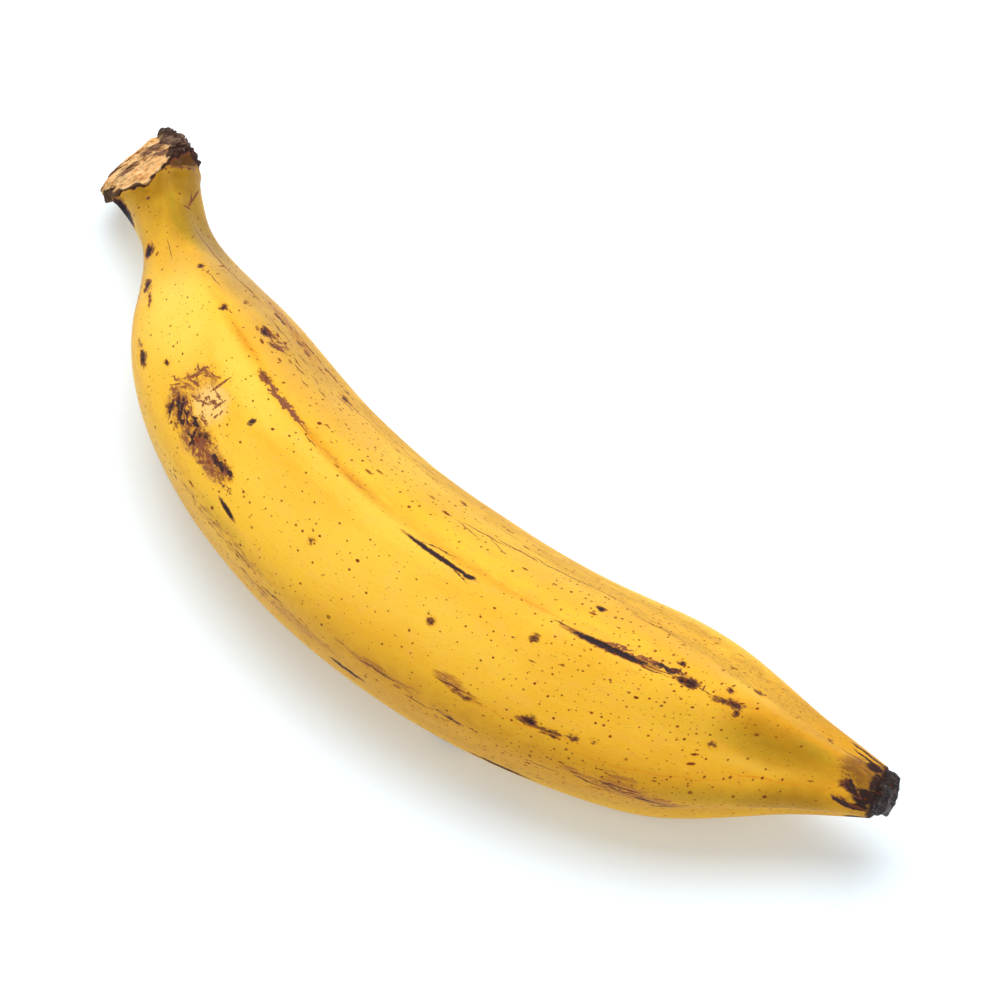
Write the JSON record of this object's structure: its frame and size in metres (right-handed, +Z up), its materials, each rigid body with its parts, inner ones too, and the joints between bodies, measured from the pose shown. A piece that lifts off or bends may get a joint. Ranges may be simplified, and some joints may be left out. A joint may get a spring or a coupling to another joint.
{
  "type": "plantain",
  "caption": "Whole ripe plantain lying on its side: curved ridged fruit with a straight neck, torn crown end and short blunt tip.",
  "frame": {"origin": "middle of the footprint, on the surface that the fruit lies on", "axes": "+X from the crown to the tip, +Y towards the inside of the curve, +Z up"},
  "size_m": [0.2716, 0.0816, 0.0504],
  "materials": {
    "peel": "satin, waxy ripe skin with dark bruises and scratches",
    "torn_crown": "dry torn fibre, matte",
    "dried_skin": "black-brown shrivelled skin, matte"
  },
  "bodies": {
    "root": {"plantain": "peel"}
  },
  "joints": []
}
